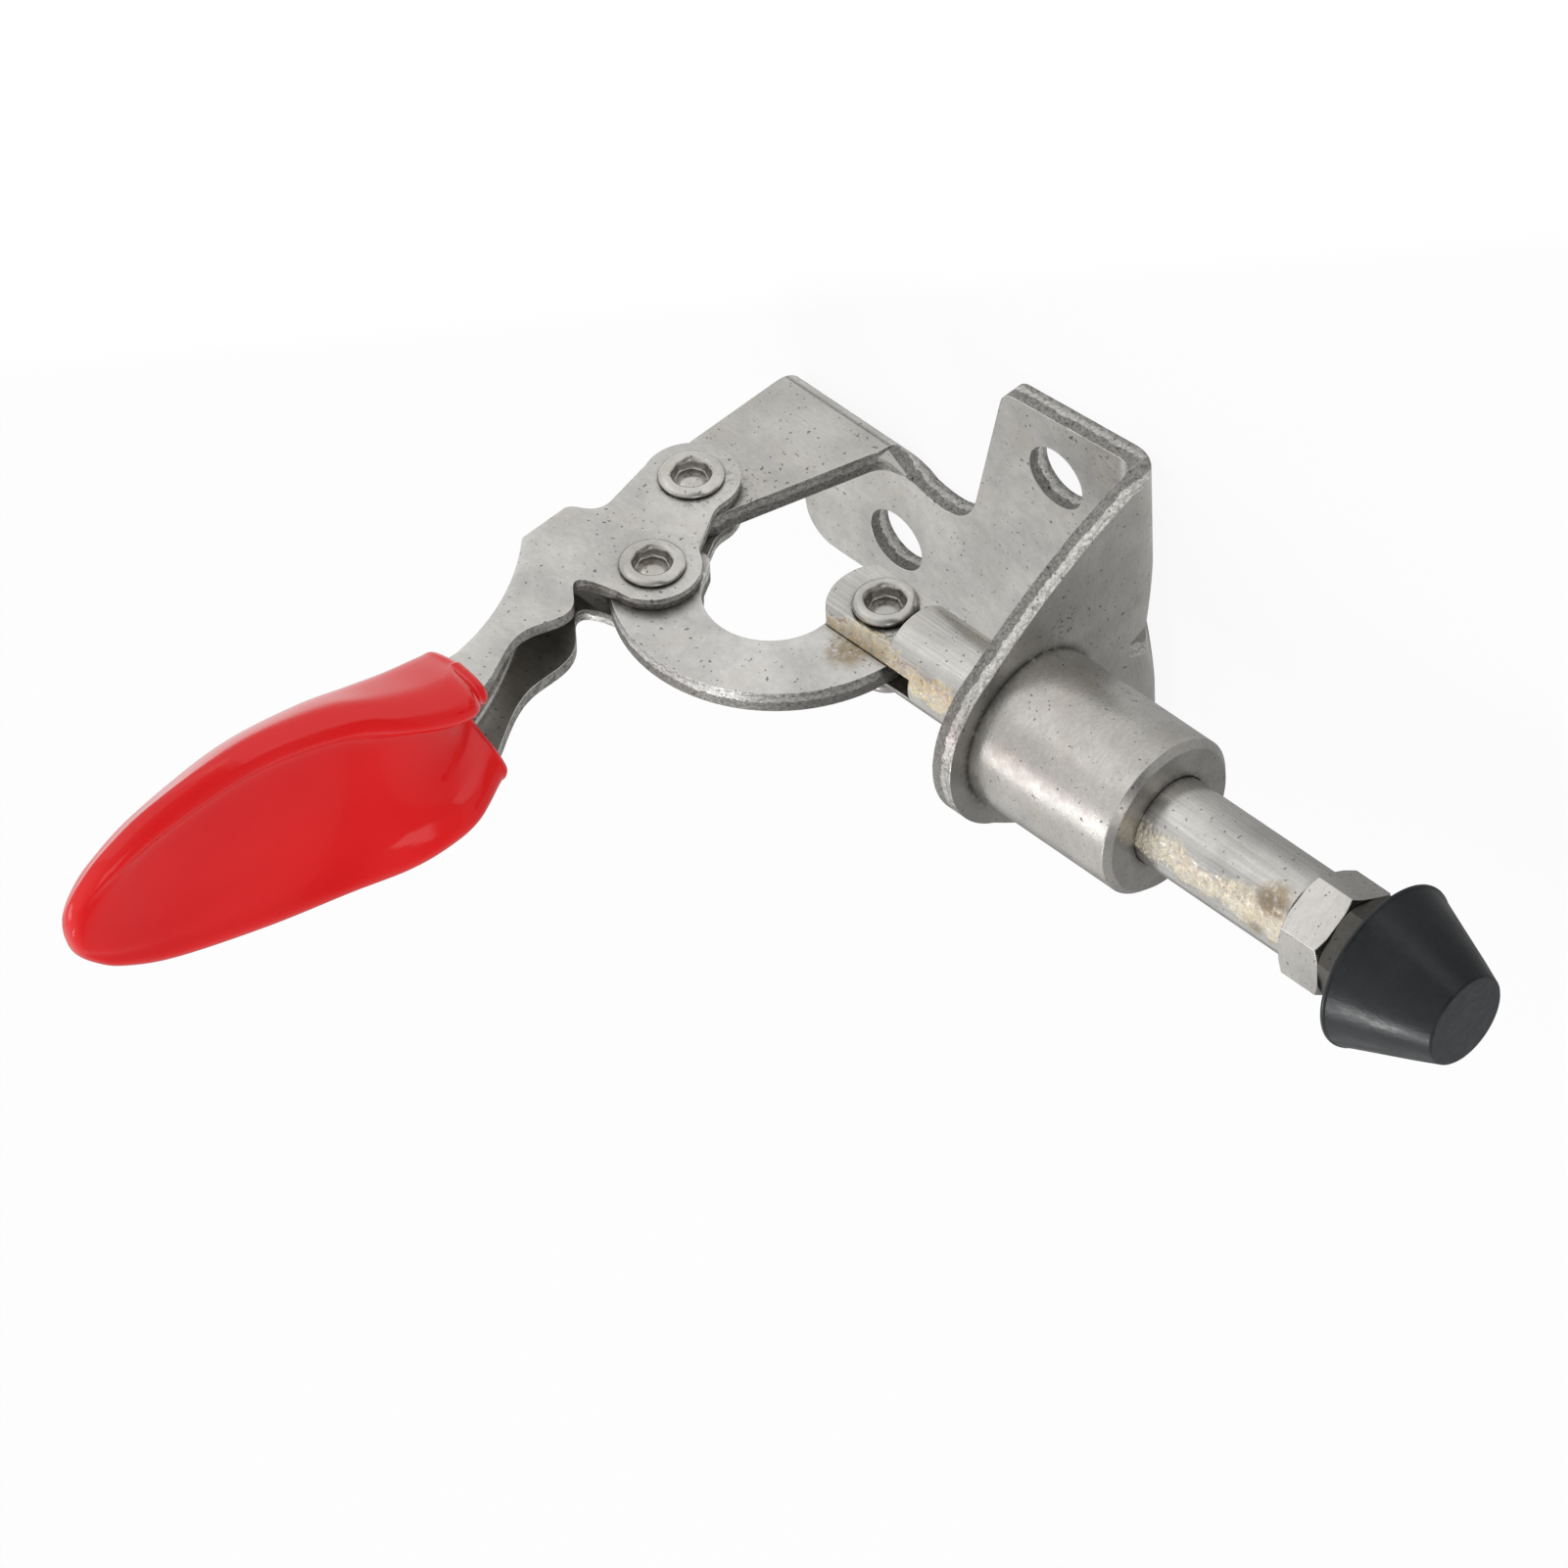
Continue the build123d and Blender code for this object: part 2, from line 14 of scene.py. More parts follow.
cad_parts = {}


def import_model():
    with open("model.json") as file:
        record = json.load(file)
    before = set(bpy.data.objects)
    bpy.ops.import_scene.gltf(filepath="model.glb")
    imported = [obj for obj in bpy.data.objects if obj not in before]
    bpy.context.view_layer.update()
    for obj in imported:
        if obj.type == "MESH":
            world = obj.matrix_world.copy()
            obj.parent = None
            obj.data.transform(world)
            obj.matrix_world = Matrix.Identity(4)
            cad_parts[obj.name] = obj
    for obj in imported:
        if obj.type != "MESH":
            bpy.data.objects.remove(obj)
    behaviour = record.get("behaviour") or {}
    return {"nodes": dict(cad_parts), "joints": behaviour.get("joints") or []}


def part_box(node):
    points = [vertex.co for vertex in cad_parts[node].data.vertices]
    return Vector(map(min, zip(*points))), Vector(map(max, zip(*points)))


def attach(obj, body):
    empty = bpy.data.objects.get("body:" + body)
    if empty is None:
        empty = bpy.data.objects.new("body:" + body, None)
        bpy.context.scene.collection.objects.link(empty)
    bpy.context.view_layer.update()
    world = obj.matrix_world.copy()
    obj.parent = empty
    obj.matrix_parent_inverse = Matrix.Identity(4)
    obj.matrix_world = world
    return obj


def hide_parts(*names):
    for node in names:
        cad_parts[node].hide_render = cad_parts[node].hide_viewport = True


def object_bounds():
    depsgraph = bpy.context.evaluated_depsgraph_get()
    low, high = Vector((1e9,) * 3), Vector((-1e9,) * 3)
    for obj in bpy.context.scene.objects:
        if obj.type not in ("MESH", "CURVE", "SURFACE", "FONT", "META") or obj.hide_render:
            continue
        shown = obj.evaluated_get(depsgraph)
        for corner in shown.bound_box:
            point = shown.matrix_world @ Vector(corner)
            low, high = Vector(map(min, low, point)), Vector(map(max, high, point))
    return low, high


MM = 0.001

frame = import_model()
cad_low, cad_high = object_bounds()
nodes = frame["nodes"]
joints = {joint["name"]: joint for joint in frame["joints"]}


def node_box(name):
    """Lowest and highest corner of a CAD node, in millimetres."""
    low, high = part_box(name)
    return np.array(low) / MM, np.array(high) / MM


handle_pivot = np.array(joints["handle_pivot"]["pos_m"]) / MM
link_pivot = np.array(joints["link_pivot"]["pos_m"]) / MM
axis_z = handle_pivot[2]                # height of the plunger's axis
rivet_low, rivet_high = node_box("plunger_pivot_rivet")
rod_pivot = np.array([(rivet_low[0] + rivet_high[0]) / 2, 0.0, axis_z])
tip_low, tip_high = node_box("rubber_tip")

SHEET = 1.5                             # thickness of the bracket, its arm and the link
SHEET_HALF = SHEET / 2
CHEEK_IN, CHEEK_OUT = 0.80, 1.65        # faces of the lever's cheeks, from the mid-plane
PLATE_BACK, PLATE_FRONT = 7.0, 8.5      # faces of the end plate, along X


# ---------------------------------------------------------------- meshes

def smooth_line(points, steps, closed=False):
    """Catmull-Rom line through points (an array whose first index runs along the line)."""
    count = len(points)
    spans = count if closed else count - 1
    out = []
    for span in range(spans):
        around = range(span - 1, span + 3)
        indices = [i % count if closed else min(max(i, 0), count - 1) for i in around]
        before, start, end, after = (points[i] for i in indices)
        for step in range(steps):
            t = step / steps
            out.append(0.5 * (2 * start + (end - before) * t
                              + (2 * before - 5 * start + 4 * end - after) * t ** 2
                              + (3 * start - before - 3 * end + after) * t ** 3))
    if not closed:
        out.append(points[-1])
    return np.array(out)


def new_piece(name, points, faces):
    """A smooth-shaded object from points in millimetres."""
    mesh = bpy.data.meshes.new(name)
    mesh.from_pydata([tuple(point * MM) for point in points], [], faces)
    mesh.validate()
    mesh.shade_smooth()
    piece = bpy.data.objects.new(name, mesh)
    bpy.context.scene.collection.objects.link(piece)
    return piece


def skin(rings):
    """Points and faces of a closed tube through rings, with a fan at each end."""
    count = len(rings[0])
    points = [point for ring in rings for point in ring]
    faces = []
    for row in range(len(rings) - 1):
        for column in range(count):
            after = (column + 1) % count
            faces.append((row * count + column, row * count + after,
                          (row + 1) * count + after, (row + 1) * count + column))
    for row, flip in ((0, True), (len(rings) - 1, False)):
        points.append(np.mean(rings[row], axis=0))
        for column in range(count):
            pair = (row * count + column, row * count + (column + 1) % count)
            faces.append((*(pair[::-1] if flip else pair), len(points) - 1))
    return points, faces


def turned(name, profile, centre, axis, sides=80, facets=0, facet_depth=0.0):
    """A lathe-turned piece. The profile is (distance along the axis, radius, how faceted)."""
    along = np.array(axis, float)
    first = np.array([0.0, 0.0, 1.0])
    second = np.cross(along, first)
    rings = []
    for distance, radius, share in profile:
        ring = []
        for side in range(sides):
            angle = 2 * math.pi * side / sides
            dent = 1 - facet_depth * share * (0.5 - 0.5 * math.cos(facets * angle))
            spoke = first * math.cos(angle) + second * math.sin(angle)
            ring.append(np.array(centre) + along * distance + spoke * radius * dent)
        rings.append(np.array(ring))
    return new_piece(name, *skin(rings))


# ---------------------------------------------------------------- vinyl grip

# Stations up the grip, from the handle pivot: height, back, half width at the back,
# front of the rims, half width over the rims, hollow between the rims, rim radius,
# how far the near and the far wall bulge, and how round the section is.
GRIP_STATIONS = [
    (25.3, 0.55, 4.10, 7.25, 5.80, 2.7, 1.50, 0.55, 0.05, 0.0),
    (27.4, 0.30, 4.30, 7.10, 6.20, 2.3, 1.40, 0.65, 0.20, 0.0),
    (30.0, -0.20, 4.60, 6.20, 6.75, 1.75, 1.25, 0.75, 0.35, 0.0),
    (33.5, -1.05, 4.90, 4.40, 7.35, 1.25, 1.10, 0.80, 0.40, 0.0),
    (39.0, -1.85, 5.10, 2.75, 7.45, 0.95, 1.05, 0.65, 0.30, 0.0),
    (45.5, -2.05, 4.30, 1.60, 6.25, 0.75, 1.00, 0.40, 0.10, 0.0),
    (49.2, -1.90, 3.20, 1.20, 4.75, 0.50, 0.90, 0.30, -0.15, 0.2),
    (51.0, -1.60, 2.30, 0.90, 3.30, 0.30, 0.75, 0.20, -0.20, 0.5),
    (52.0, -1.20, 1.40, 0.60, 1.95, 0.12, 0.50, 0.0, 0.0, 0.9),
    (52.4, -0.70, 0.60, 0.25, 0.80, 0.02, 0.25, 0.0, 0.0, 1.0),
]
MOUTH_HEIGHT = 22.65        # middle of the slanting mouth
MOUTH_SLANT = 0.17          # how much higher the mouth lies for each millimetre towards +Y
MOUTH_STATION = (0.62, 3.98, 6.35, 5.30, 2.6, 1.72, 0.45, 0.05, 0.0)
# The mouth's rolled lip, from its inside edge: how far inside the wall, how far up.
LIP = [(1.05, 0.75), (0.92, 0.24), (0.62, -0.08), (0.28, -0.02), (0.06, 0.30), (0.0, 0.72)]


def grip_ring(back, back_half, front, rim_half, hollow, rim, near_out, far_out, roundness):
    """Control points of one cross-section, as (x, y), starting in the middle of the back.

    Both walls run from the back's corner over a rim into the hollow. The near rim has a crease
    behind it, and the far one falls away softly. Towards the tip the section becomes an oval.
    """
    depth = front - back
    crease = rim_half - 2.05 * rim
    wall = (back_half + 2 * rim_half) / 3 + 0.12
    near = [
        (back, 0.50 * back_half),
        (back + 0.30, 0.88 * back_half + 0.50 * near_out),
        (back + 1.1, back_half + 0.25 + near_out),
        (back + 0.55 * depth, wall + 0.75 * near_out),
        (front - 1.25 * rim, rim_half + 0.30 * near_out),
        (front - 0.40 * rim, rim_half - 0.22 * rim),
        (front, rim_half - 0.90 * rim),
        (front - 0.35 * rim, rim_half - 1.60 * rim),
        (front - 0.80 * hollow, crease),
        (front - hollow, 0.72 * crease),
    ]
    far = [
        (back, 0.50 * back_half),
        (back + 0.30, 0.88 * back_half),
        (back + 1.1, back_half + 0.25),
        (back + 0.55 * depth, wall + 0.50 * far_out),
        (front - 1.25 * rim, rim_half + far_out),
        (front - 0.45 * rim, rim_half - 0.18 * rim + far_out),
        (front - 0.06 * rim, rim_half - 0.95 * rim + 0.7 * far_out),
        (front - 0.22 * rim - 0.12 * hollow, rim_half - 1.75 * rim + 0.3 * far_out),
        (front - 0.52 * hollow, 0.92 * crease),
        (front - 0.84 * hollow, 0.5 * crease),
    ]
    mirrored = [(x, -y) for x, y in reversed(far)]
    ring = np.array([(back, 0), *near, (front - hollow, 0), *mirrored])
    angles = 2 * math.pi * np.arange(len(ring)) / len(ring)
    oval = np.column_stack([(back + front) / 2 - depth / 2 * np.cos(angles),
                            rim_half * np.sin(angles)])
    return ring * (1 - roundness) + oval * roundness


def inset_ring(ring, distance):
    """The ring moved inwards in its own plane."""
    run = np.roll(ring, -1, axis=0) - np.roll(ring, 1, axis=0)
    inward = np.stack([run[:, 1], -run[:, 0]], axis=1)
    inward /= np.linalg.norm(inward, axis=1)[:, None]
    centre = ring.mean(axis=0)
    if np.sum((centre - ring) * inward) < 0:
        inward = -inward
    return ring + inward * distance


def vinyl_grip():
    """The dipped grip: a rolled lip round the slanting mouth, then the sections up to the tip."""
    rows = []
    mouth = grip_ring(*MOUTH_STATION)
    for inwards, upwards in LIP:
        height = MOUTH_HEIGHT + MOUTH_SLANT * mouth[:, 1] + upwards
        rows.append(np.column_stack([inset_ring(mouth, inwards), height]))
    for height, *station in GRIP_STATIONS:
        ring = grip_ring(*station)
        rows.append(np.column_stack([ring, np.full(len(ring), height)]))
    long_lines = smooth_line(np.array(rows), 6)
    rings = [smooth_line(row, 4, closed=True) + handle_pivot for row in long_lines]
    return new_piece("vinyl_grip", *skin(rings))


# ---------------------------------------------------------------- rivets and rubber tip

HEAD_HEIGHT = 0.5           # what the rolled head's profile is drawn for
# Height above the seat, radius and how faceted, from the head's foot over its rim to the dish.
ROLLED_HEAD = [
    (-0.30, 1.50, 0), (0.05, 1.60, 0), (0.05, 1.98, 0), (0.09, 2.07, 0), (0.17, 2.10, 0),
    (0.26, 2.07, 0), (0.34, 1.99, 0), (0.42, 1.87, 0), (0.48, 1.73, 0), (0.50, 1.60, 0),
    (0.485, 1.47, 0), (0.43, 1.36, 0.1), (0.34, 1.27, 0.4), (0.20, 1.21, 0.8),
    (0.0, 1.17, 1.0), (-0.18, 1.13, 1.0), (-0.25, 1.07, 1.0), (-0.27, 1.02, 0.8),
    (-0.27, 0.95, 0.5), (-0.26, 0.10, 0),
]
# Each head is the side that it is on, how far out its seat lies, and its height.
CHEEK_HEADS = [(1, CHEEK_OUT, HEAD_HEIGHT), (-1, CHEEK_OUT, HEAD_HEIGHT)]
RIVETS = {
    "handle_pivot_rivet": ("handle", handle_pivot, CHEEK_HEADS),
    "link_pivot_rivet": ("handle", link_pivot, CHEEK_HEADS),
    "plunger_pivot_rivet": ("plunger", rod_pivot, [(1, 1.95, 0.65), (-1, 2.95, 1.0)]),
}


def rivet_head(name, centre, seat, height, side):
    """A rolled head whose dish faces away from the mid-plane."""
    stretch = height / HEAD_HEIGHT
    profile = [(seat + rise * (stretch if rise > 0 else 1), radius, share)
               for rise, radius, share in ROLLED_HEAD]
    return turned(name, profile, centre, (0, side, 0), facets=8, facet_depth=0.045)


def rivet(node, body, centre, heads):
    """The two heads of one rivet, riding on its body."""
    for side, seat, height in heads:
        name = node + ("_near_head" if side > 0 else "_far_head")
        head = rivet_head(name, centre, seat, height, side)
        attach(head, body)
        yield head


def rubber_cone():
    """The tip: a rounded lip at its wide end, a straight cone and a rounded flat face."""
    length = tip_high[0] - tip_low[0]
    wide = (tip_high[2] - tip_low[2]) / 2
    narrow = 3.05
    lip = 0.35
    slope = (wide - 0.10 - narrow) / (length - lip)
    lip_and_back = [
        (0.30, 2.3), (0.12, 2.6), (0.02, 3.2), (0.0, 4.4), (0.0, wide - 0.30),
        (0.03, wide - 0.10), (0.10, wide - 0.01), (0.20, wide), (0.30, wide - 0.03),
        (0.36, wide - 0.10), (0.42, wide - 0.13),
    ]
    cone = [(length * share, wide - 0.11 - slope * (length * share - lip))
            for share in (0.25, 0.5, 0.75)]
    face = [
        (length - 0.28, narrow + 0.06), (length - 0.12, narrow), (length - 0.03, narrow - 0.09),
        (length, narrow - 0.24), (length, 1.2),
    ]
    profile = [(along, radius, 0) for along, radius in lip_and_back + cone + face]
    return turned("rubber_cone", profile, (tip_low[0], 0, axis_z), (1, 0, 0), sides=128)


# ---------------------------------------------------------------- node helpers

def add_node(tree, kind, inputs=None, **settings):
    """A new node. Each input is linked when its value is a socket, and set otherwise."""
    node = tree.nodes.new(kind)
    for key, value in settings.items():
        setattr(node, key, value)
    for key, value in (inputs or {}).items():
        if isinstance(value, bpy.types.NodeSocket):
            tree.links.new(value, node.inputs[key])
        else:
            node.inputs[key].default_value = value
    return node


class Nodes:
    """A short way to write one material's node tree."""

    def __init__(self, name):
        self.material = bpy.data.materials.new(name)
        self.material.use_nodes = True
        self.tree = self.material.node_tree
        self.shader = self.tree.nodes["Principled BSDF"]
        self.coordinates = self.tree.nodes.new("ShaderNodeTexCoord").outputs

    def add(self, kind, inputs=None, **settings):
        return add_node(self.tree, kind, inputs, **settings)

    def link(self, source, socket):
        self.tree.links.new(source, self.shader.inputs[socket])

    def linked(self, socket):
        """What the shader's input takes its value from so far."""
        return self.shader.inputs[socket].links[0].from_socket

    def set(self, socket, value):
        self.shader.inputs[socket].default_value = value

    def place(self):
        """Position on the object at rest, in millimetres."""
        return self.add("ShaderNodeVectorMath", {0: self.coordinates["Object"], 3: 1 / MM},
                        operation="SCALE").outputs[0]

    def split(self, vector):
        return self.add("ShaderNodeSeparateXYZ", {0: vector}).outputs

    def stretched(self, place, scale):
        return self.add("ShaderNodeVectorMath", {0: place, 1: scale},
                        operation="MULTIPLY").outputs[0]

    def along(self, vector, direction):
        """How far a vector goes in a direction."""
        return self.add("ShaderNodeVectorMath", {0: vector, 1: direction},
                        operation="DOT_PRODUCT").outputs["Value"]

    def noise(self, place, scale, detail=3.0, roughness=0.55, distortion=0.0):
        node = self.add("ShaderNodeTexNoise", {
            "Vector": place, "Scale": scale, "Detail": detail,
            "Roughness": roughness, "Distortion": distortion})
        return node.outputs["Fac"]

    def ramp(self, value, low, high, out_low=0.0, out_high=1.0):
        """Smooth step of a value from low..high to out_low..out_high."""
        node = self.add("ShaderNodeMapRange", {
            "Value": value, "From Min": low, "From Max": high,
            "To Min": out_low, "To Max": out_high}, interpolation_type="SMOOTHSTEP")
        return node.outputs["Result"]

    def math(self, operation, first, second=0.0):
        return self.add("ShaderNodeMath", {0: first, 1: second}, operation=operation).outputs[0]

    def chain(self, operation, first, *others):
        """The operation over two or more values in turn."""
        for other in others:
            first = self.math(operation, first, other)
        return first

    def product(self, *factors):
        return self.chain("MULTIPLY", *factors)

    def total(self, *terms):
        return self.chain("ADD", *terms)

    def most(self, *values):
        return self.chain("MAXIMUM", *values)

    def mix(self, factor, first, second, blend="MIX"):
        node = self.add("ShaderNodeMix", {0: factor}, data_type="RGBA", blend_type=blend)
        for socket, value in (("A", first), ("B", second)):
            target = [s for s in node.inputs if s.name == socket and s.type == "RGBA"][0]
            if isinstance(value, bpy.types.NodeSocket):
                self.tree.links.new(value, target)
            else:
                target.default_value = (*value, 1.0)
        return [s for s in node.outputs if s.type == "RGBA"][0]

    def shade(self, colour, level):
        """The colour times a level near 1."""
        grey = self.add("ShaderNodeCombineColor", {0: level, 1: level, 2: level}).outputs[0]
        return self.mix(1.0, colour, grey, "MULTIPLY")

    def bump(self, height, strength, distance, normal=None):
        inputs = {"Height": height, "Strength": strength, "Distance": distance}
        if normal is not None:
            inputs["Normal"] = normal
        return self.add("ShaderNodeBump", inputs).outputs[0]

    def softened_edges(self, radius):
        """The face's normal, turned along edges as if they were rounded."""
        return self.add("ShaderNodeBevel", {"Radius": radius}, samples=6).outputs[0]

    def worn_and_glinting_edges(self, rounded):
        """1 along edges, where the rounded normal leaves the face's own, and 0 on open faces."""
        flat = self.add("ShaderNodeNewGeometry").outputs["Normal"]
        return self.ramp(self.along(rounded, flat), 0.86, 0.985, 1.0, 0.0)

    def crevices(self, reach):
        """1 in the open, falling towards 0 in corners and under heads."""
        return self.add("ShaderNodeAmbientOcclusion", {"Distance": reach}, samples=8).outputs["AO"]

    def near_spots(self, place, spots):
        """1 at each spot (x, y, z, radius), fading to 0 at its radius."""
        closeness = []
        for x, y, z, radius in spots:
            distance = self.add("ShaderNodeVectorMath", {0: place, 1: (x, y, z)},
                                operation="DISTANCE").outputs["Value"]
            closeness.append(self.ramp(distance, radius * 0.35, radius, 1.0, 0.0))
        return self.most(*closeness)

    def inside(self, value, low, high, soft):
        """1 where low < value < high, with soft borders."""
        return self.product(self.ramp(value, low - soft, low + soft),
                            self.ramp(value, high - soft, high + soft, 1.0, 0.0))


def tinted(tone, red, green, blue):
    """The tone with each of its channels multiplied."""
    return tone[0] * red, tone[1] * green, tone[2] * blue


# ---------------------------------------------------------------- stamped rims of sheets

# Each function finds the sheet's cut rim, and how far across its thickness a place is (0..1).
# where and facing are the split position at rest, in millimetres, and the split normal.

def is_rim(m, facing, low, high):
    """1 where the normal has little of the sheet's own direction in it."""
    return m.ramp(m.math("ABSOLUTE", facing), low, high, 1.0, 0.0)


def link_rim(m, where, facing):
    """The drive link: a flat sheet in the mid-plane."""
    return is_rim(m, facing["Y"], 0.55, 0.75), m.ramp(where["Y"], -SHEET_HALF, SHEET_HALF)


def cheek_rims(m, where, facing):
    """The lever's cheeks. They are folded at the back, so only their lower ends are cut there."""
    ahead = m.ramp(facing["X"], -0.60, -0.35)
    lower_end = m.ramp(where["Z"], axis_z + 4.0, axis_z + 5.5, 1.0, 0.0)
    width = m.math("ABSOLUTE", where["Y"])
    in_cheek = m.ramp(width, CHEEK_IN - 0.02, CHEEK_IN + 0.02)
    rim = m.product(is_rim(m, facing["Y"], 0.55, 0.75), m.most(ahead, lower_end), in_cheek)
    return rim, m.ramp(width, CHEEK_IN, CHEEK_OUT)


def bracket_rims(m, where, facing):
    """The bracket's end plate, upright arm and floor, each a sheet along another axis."""
    plate = m.ramp(where["X"], PLATE_BACK - 0.4, PLATE_BACK - 0.1)
    arm = m.product(m.inside(where["Y"], -SHEET_HALF - 0.05, SHEET_HALF + 0.05, 0.02),
                    m.ramp(where["Z"], SHEET + 0.05, SHEET + 0.2),
                    m.ramp(where["X"], PLATE_BACK - 1.0, PLATE_BACK - 0.7, 1.0, 0.0))
    floor = m.math("SUBTRACT", 1.0, m.most(plate, arm))
    rim = m.most(m.product(plate, is_rim(m, facing["X"], 0.30, 0.50)),
                 m.product(arm, is_rim(m, facing["Y"], 0.50, 0.70)),
                 m.product(floor, is_rim(m, facing["Z"], 0.30, 0.50)))
    across = m.total(m.product(plate, m.ramp(where["X"], PLATE_BACK, PLATE_FRONT)),
                     m.product(arm, m.ramp(where["Y"], -SHEET_HALF, SHEET_HALF)),
                     m.product(floor, m.ramp(where["Z"], SHEET, 0.0)))
    return rim, across


# ---------------------------------------------------------------- metal

# A dark tone for specks, pin holes, the rims' dark line and the painted corner shade.
SPECK_AND_SHADE_TONE = (0.045, 0.040, 0.034)
GOLD_TONE = (0.74, 0.62, 0.38)
BROWN_TONE = (0.26, 0.18, 0.085)
FRACTURE_TONE = (0.20, 0.195, 0.185)
WARMER = (1.02, 0.95, 0.86)             # the steel's warm clouds, as a multiple of its tone
RUBBED_AND_GLINT_BRIGHT = (1.55, 1.55, 1.55)      # its edges, worn and brightened as a painted highlight
HIGHLIGHT_BAND_BRIGHT = (1.45, 1.38, 1.22)        # the band along the plunger, brightened as a painted highlight
STAIN_STRENGTH = 0.75
EDGE_RADIUS = 0.12 * MM                 # how far edges look rounded
CORNER_REACH = 1.0 * MM                 # how far the painted corner shade reaches out of a corner


def split_rim(m, place, rim_of):
    """The sheared half of a rim, its torn half, and the dark line where it rolls over."""
    rim, across = rim_of(m, m.split(place), m.split(m.coordinates["Normal"]))
    ragged = m.total(across, m.ramp(m.noise(place, 1.6, 3.0, 0.7), 0.30, 0.70, -0.12, 0.12))
    torn = m.product(rim, m.ramp(ragged, 0.46, 0.54, 1.0, 0.0))
    seam = m.product(rim, m.inside(ragged, 0.90, 0.97, 0.03))
    return m.math("SUBTRACT", rim, torn), torn, seam


def oily_dirt_and_corner_shade(m, place, corner_shade_level, oil):
    """How dark the surface is made: painted shade in corners, patchy with oily blots, oily specks
    round the oil spots, and pin holes.
    """
    # Painted shade: corners and gaps darkened by ambient occlusion, more where oily blots lie.
    corner = m.ramp(m.crevices(CORNER_REACH), 0.30, 0.92, 1.0, 0.0)
    blots = m.ramp(m.noise(place, 1.8, 4.0, 0.75), 0.32, 0.56)
    dirt_and_shade = m.product(corner, m.ramp(blots, 0.0, 1.0, corner_shade_level, 0.85))
    if oil:
        flecks = m.ramp(m.noise(place, 2.6, 4.0, 0.8), 0.56, 0.62)
        dirt_and_shade = m.most(dirt_and_shade, m.product(m.near_spots(place, oil), flecks, 0.85))
    pin_holes = m.ramp(m.noise(place, 3.2, 1.0), 0.70, 0.73)
    return m.most(dirt_and_shade, m.product(pin_holes, 0.6))


def steel(name, tone, roughness, grain, grain_axis, rim_of=None, sparkle=0.3, mottle=0.13,
          oil=(), stained=(), streaks=0.05, pepper=0.04, corner_shade_level=0.0):
    """Tumbled stainless steel with bright edges: partly wear, partly a painted highlight.

    grain and grain_axis are the scale and stretch of its long grain, and sparkle is its fine bump.
    mottle, pepper and streaks say how much clouds, fine spots and the grain vary the tone, and
    the last argument how dark the painted corner shade is all along. oil and stained are spots as
    near_spots takes them.
    """
    m = Nodes(name)
    place = m.place()
    clouds = m.ramp(m.noise(place, 0.20, 4.0), 0.30, 0.70, 1 - mottle, 1 + mottle)
    peppered = m.ramp(m.noise(place, 4.5, 3.0, 0.7), 0.35, 0.75, 1 - pepper, 1 + pepper)
    long_grain = m.noise(m.stretched(place, grain_axis), grain, 4.0, 0.6)
    streak = m.ramp(long_grain, 0.32, 0.68, 1 - streaks, 1 + streaks)
    colour = m.shade(tone, m.product(clouds, peppered, streak))
    warm = m.ramp(m.noise(place, 0.30, 3.0, 0.6, 0.5), 0.50, 0.75)
    colour = m.mix(m.product(warm, 0.35), colour, tinted(tone, *WARMER))

    relief = m.product(long_grain, 0.6)
    rough_extra = m.ramp(m.noise(place, 1.1, 4.0, 0.6), 0.30, 0.70, -0.05, 0.06)
    if rim_of:
        sheared, torn, seam = split_rim(m, place, rim_of)
        grit = m.noise(place, 5.0, 5.0, 0.8)
        fracture = m.shade(FRACTURE_TONE, m.ramp(grit, 0.35, 0.65, 0.5, 1.9))
        colour = m.mix(m.product(torn, 0.8), colour, fracture)
        drag = m.ramp(m.noise(place, 3.6, 3.0, 0.7), 0.35, 0.65, 0.80, 1.30)
        colour = m.mix(sheared, colour, m.shade(tone, drag))
        colour = m.mix(m.product(seam, 0.45), colour, SPECK_AND_SHADE_TONE)
        relief = m.total(relief, m.product(torn, m.product(grit, 3.5)))
        rough_extra = m.total(rough_extra, m.product(torn, 0.25))

    # Edges are brightened: partly real wear, partly a painted highlight (glint) along every edge.
    rounded = m.softened_edges(EDGE_RADIUS)
    edge_patches = m.ramp(m.noise(place, 0.8, 4.0, 0.7), 0.30, 0.60, 0.25, 0.9)
    rubbed_and_glint = m.product(m.worn_and_glinting_edges(rounded), edge_patches)
    colour = m.mix(rubbed_and_glint, colour, tinted(tone, *RUBBED_AND_GLINT_BRIGHT))
    rough_extra = m.math("SUBTRACT", rough_extra, m.product(rubbed_and_glint, 0.10))

    # Darkened by painted corner shade together with oily specks and pin holes.
    dirt_and_shade = oily_dirt_and_corner_shade(m, place, corner_shade_level, oil)
    colour = m.mix(dirt_and_shade, colour, SPECK_AND_SHADE_TONE)
    if stained:
        patches = m.ramp(m.noise(place, 2.0, 5.0, 0.8), 0.36, 0.54)
        stain = m.product(m.near_spots(place, stained), patches, STAIN_STRENGTH)
        colour = m.mix(stain, colour, BROWN_TONE)
    m.link(colour, "Base Color")
    m.link(m.total(rough_extra, roughness, m.product(dirt_and_shade, 0.25)), "Roughness")
    m.set("Metallic", 1.0)
    relief = m.total(relief, m.product(m.noise(place, 7.0, 2.0), sparkle))
    m.link(m.bump(relief, 0.25, 0.015 * MM, rounded), "Normal")
    return m


